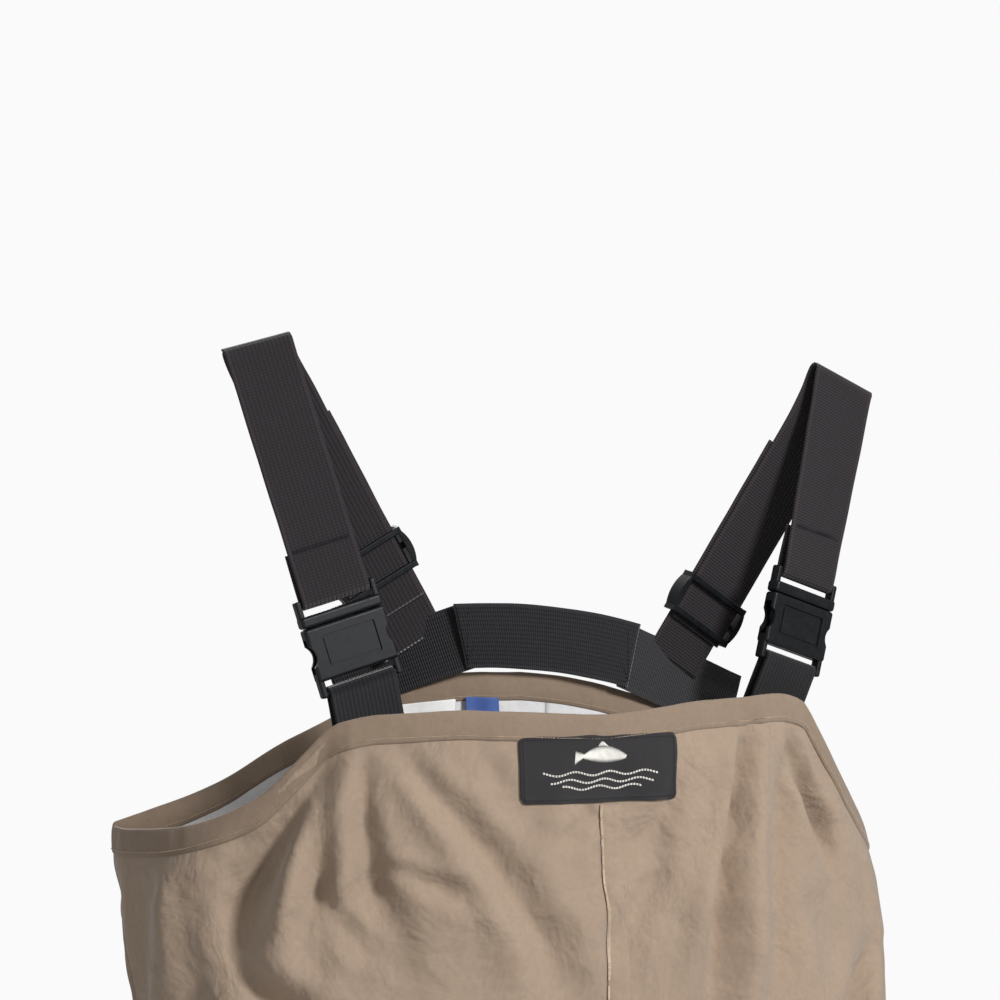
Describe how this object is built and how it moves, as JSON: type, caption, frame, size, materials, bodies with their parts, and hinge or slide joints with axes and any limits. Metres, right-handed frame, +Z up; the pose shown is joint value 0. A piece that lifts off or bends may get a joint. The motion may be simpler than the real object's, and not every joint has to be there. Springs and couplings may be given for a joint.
{
  "type": "chest waders",
  "caption": "Stocking-foot chest waders hanging by elastic suspenders, with side-release buckles, a wading belt, gravel guards and neoprene booties.",
  "frame": {"origin": "midway between the two shoulder bends of the suspenders, where a hanger or a pair of shoulders carries the waders", "axes": "+Z up, -Y out of the chest side, +X to the viewer's right as the chest is seen; left and right in the node names are the viewer's"},
  "size_m": [0.58, 0.3417, 1.7755],
  "materials": {
    "shell_cloth": "matt woven taupe shell cloth",
    "hem_cloth": "turned and stitched hem of the shell cloth",
    "elastic_webbing": "ribbed charcoal elastic",
    "nylon_webbing": "flat woven near-black webbing",
    "loop_cloth": "folded shell cloth",
    "black_plastic": "moulded black acetal, lightly polished",
    "neoprene": "foam neoprene faced with nylon knit",
    "sole_neoprene": "dense moulded neoprene",
    "hook_steel": "nickel plated",
    "label_cloth": "woven black label with a pale stitched motif",
    "inner_label_cloth": "woven satin label"
  },
  "bodies": {
    "waders": {"back_band": "nylon_webbing", "back_panel_left": "shell_cloth", "back_panel_right": "shell_cloth", "back_top_hem": "hem_cloth", "belt_buckle_socket": "black_plastic", "belt_loops": "loop_cloth", "belt_sewn_end": "nylon_webbing", "belt_webbing": "nylon_webbing", "chest_label": "label_cloth", "crotch_gusset": "shell_cloth", "front_panel_left": "shell_cloth", "front_panel_right": "shell_cloth", "front_top_hem": "hem_cloth", "inner_labels": "inner_label_cloth", "left_band_anchor": "nylon_webbing", "left_bootie": "neoprene", "left_bootie_sole": "sole_neoprene", "left_buckle_tab": "nylon_webbing", "left_front_strap": "elastic_webbing", "left_gravel_guard": "shell_cloth", "left_guard_elastic": "elastic_webbing", "left_lace_hook": "hook_steel", "left_rear_strap": "elastic_webbing", "left_rear_strap_return": "elastic_webbing", "left_shin_back": "shell_cloth", "left_shin_front": "shell_cloth", "left_shoulder_buckle_socket": "black_plastic", "left_thigh_back": "shell_cloth", "left_thigh_front": "shell_cloth", "right_band_anchor": "nylon_webbing", "right_bootie": "neoprene", "right_bootie_sole": "sole_neoprene", "right_buckle_tab": "nylon_webbing", "right_front_strap": "elastic_webbing", "right_gravel_guard": "shell_cloth", "right_guard_elastic": "elastic_webbing", "right_lace_hook": "hook_steel", "right_rear_strap": "elastic_webbing", "right_rear_strap_return": "elastic_webbing", "right_shin_back": "shell_cloth", "right_shin_front": "shell_cloth", "right_shoulder_buckle_socket": "black_plastic", "right_thigh_back": "shell_cloth", "right_thigh_front": "shell_cloth"},
    "left_buckle_plug": {"left_shoulder_buckle_plug": "black_plastic"},
    "left_buckle_prong_a": {"left_shoulder_buckle_prong_a": "black_plastic"},
    "left_buckle_prong_b": {"left_shoulder_buckle_prong_b": "black_plastic"},
    "right_buckle_plug": {"right_shoulder_buckle_plug": "black_plastic"},
    "right_buckle_prong_a": {"right_shoulder_buckle_prong_a": "black_plastic"},
    "right_buckle_prong_b": {"right_shoulder_buckle_prong_b": "black_plastic"},
    "belt_buckle_plug": {"belt_buckle_plug": "black_plastic", "belt_end": "nylon_webbing"},
    "belt_buckle_prong_a": {"belt_buckle_prong_a": "black_plastic"},
    "belt_buckle_prong_b": {"belt_buckle_prong_b": "black_plastic"},
    "left_slider": {"left_slider": "black_plastic"},
    "right_slider": {"right_slider": "black_plastic"}
  },
  "joints": [
    {"name": "left_buckle_release", "type": "slide", "parent": "waders", "child": "left_buckle_plug", "axis": [-0.2798, 0.082, 0.9566], "range_m": [0, 0.045], "deforming": ["left_front_strap"]},
    {"name": "left_buckle_prong_a_press", "type": "hinge", "parent": "left_buckle_plug", "child": "left_buckle_prong_a", "pos_m": [-0.18519, -0.01975, -0.17855], "axis": [-0.0199, -0.9966, 0.0797], "range_deg": [0, 7], "stiffness_Nm_per_rad": 0.05, "springref_deg": -2.86},
    {"name": "left_buckle_prong_b_press", "type": "hinge", "parent": "left_buckle_plug", "child": "left_buckle_prong_b", "pos_m": [-0.14987, -0.01963, -0.16823], "axis": [0.0199, 0.9966, -0.0797], "range_deg": [0, 7], "stiffness_Nm_per_rad": 0.05, "springref_deg": -2.86},
    {"name": "right_buckle_release", "type": "slide", "parent": "waders", "child": "right_buckle_plug", "axis": [0.268, 0.0852, 0.9596], "range_m": [0, 0.045], "deforming": ["right_front_strap"]},
    {"name": "right_buckle_prong_a_press", "type": "hinge", "parent": "right_buckle_plug", "child": "right_buckle_prong_a", "pos_m": [0.1707, -0.02263, -0.16167], "axis": [0.2631, -0.9647, 0.0121], "range_deg": [0, 7], "stiffness_Nm_per_rad": 0.05, "springref_deg": -2.86},
    {"name": "right_buckle_prong_b_press", "type": "hinge", "parent": "right_buckle_plug", "child": "right_buckle_prong_b", "pos_m": [0.20481, -0.01345, -0.17201], "axis": [-0.2631, 0.9647, -0.0121], "range_deg": [0, 7], "stiffness_Nm_per_rad": 0.05, "springref_deg": -2.86},
    {"name": "belt_buckle_release", "type": "slide", "parent": "waders", "child": "belt_buckle_plug", "axis": [1, 0, 0], "range_m": [0, 0.045]},
    {"name": "belt_buckle_prong_a_press", "type": "hinge", "parent": "belt_buckle_plug", "child": "belt_buckle_prong_a", "pos_m": [0.0069, -0.1079, -0.6216], "axis": [0, -1, 0], "range_deg": [0, 7], "stiffness_Nm_per_rad": 0.05, "springref_deg": -2.86},
    {"name": "belt_buckle_prong_b_press", "type": "hinge", "parent": "belt_buckle_plug", "child": "belt_buckle_prong_b", "pos_m": [0.0069, -0.1079, -0.6584], "axis": [0, 1, 0], "range_deg": [0, 7], "stiffness_Nm_per_rad": 0.05, "springref_deg": -2.86},
    {"name": "left_strap_adjust", "type": "slide", "parent": "waders", "child": "left_slider", "axis": [-0.5085, -0.0557, 0.8592], "range_m": [0, 0.06]},
    {"name": "right_strap_adjust", "type": "slide", "parent": "waders", "child": "right_slider", "axis": [0.5195, -0.0729, 0.8513], "range_m": [0, 0.06]}
  ],
  "couplings": [
    {"joint": "left_buckle_prong_b_press", "follows": "left_buckle_prong_a_press", "ratio": 1},
    {"joint": "right_buckle_prong_b_press", "follows": "right_buckle_prong_a_press", "ratio": 1},
    {"joint": "belt_buckle_prong_b_press", "follows": "belt_buckle_prong_a_press", "ratio": 1}
  ]
}
